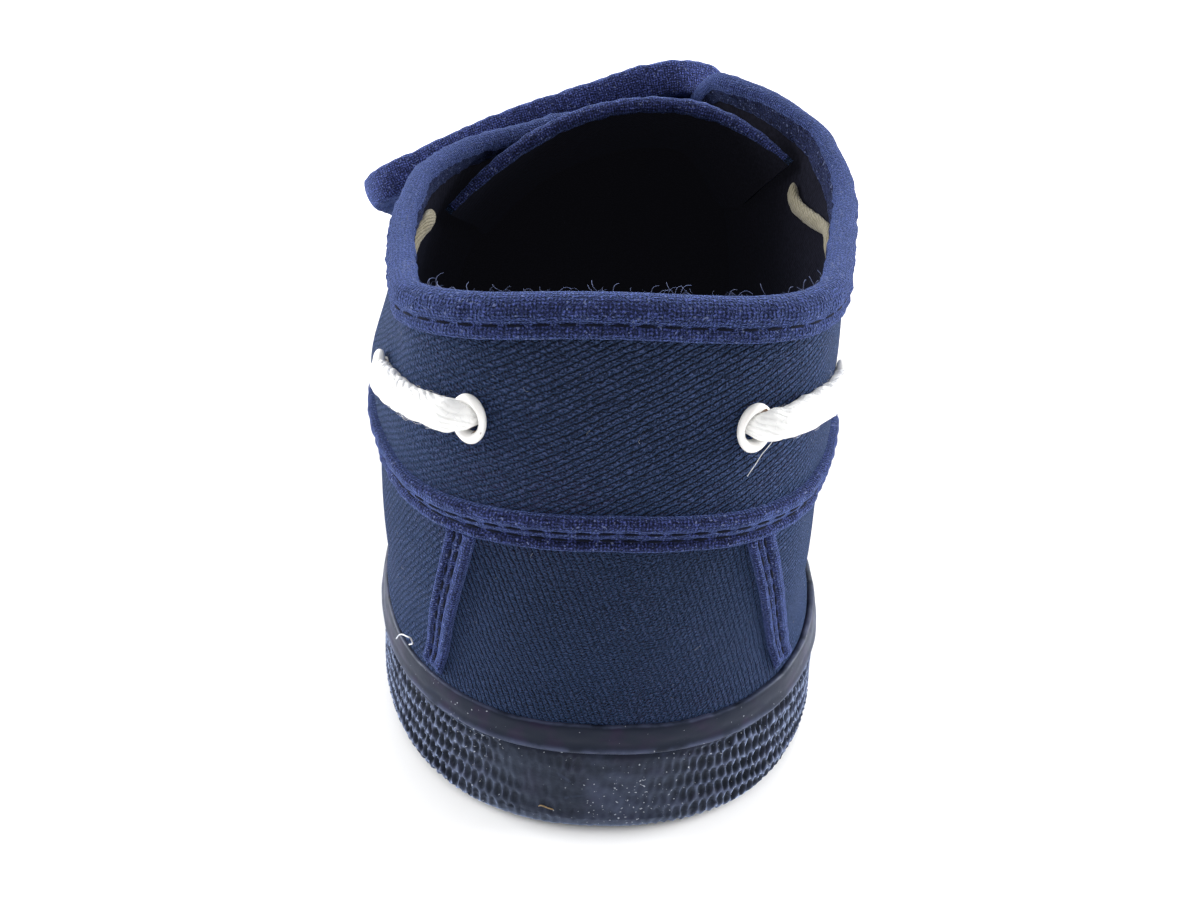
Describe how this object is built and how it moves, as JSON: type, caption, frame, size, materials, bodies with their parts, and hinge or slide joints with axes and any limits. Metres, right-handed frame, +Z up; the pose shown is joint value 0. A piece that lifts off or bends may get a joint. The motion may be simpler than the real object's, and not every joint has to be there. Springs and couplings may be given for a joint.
{
  "type": "canvas boat shoe",
  "caption": "Child's left canvas boat shoe: low collar with a lace run through eyelets, tongue, strap across the instep and a moulded rubber sole.",
  "frame": {"origin": "on the floor under the middle of the heel", "axes": "+Y from heel to toe, +X to the medial side, +Z up"},
  "size_m": [0.0849, 0.2246, 0.0748],
  "materials": {
    "rubber": "satin moulded rubber, navy",
    "sock_lining": "cloth-covered sock board, navy",
    "canvas": "cotton twill, navy",
    "tape": "cotton bias tape, navy",
    "eyelet": "pressed, light, slightly spotted",
    "cord": "round twisted cotton cord, white"
  },
  "bodies": {
    "root": {"outsole": "rubber", "foxing_band": "rubber", "insole": "sock_lining", "upper": "canvas", "tongue": "canvas", "collar_binding": "tape", "saddle_tape": "tape", "apron_seam_tape": "tape", "heel_seam_tape_medial": "tape", "heel_seam_tape_lateral": "tape", "strap": "canvas", "strap_binding": "tape", "eyelet_rear_medial": "eyelet", "eyelet_rear_lateral": "eyelet", "eyelet_side_medial": "eyelet", "eyelet_side_lateral": "eyelet", "lace_outside_medial": "cord", "lace_outside_lateral": "cord", "lace_inside_heel": "cord", "lace_inside_medial": "cord", "lace_inside_lateral": "cord"}
  },
  "joints": []
}
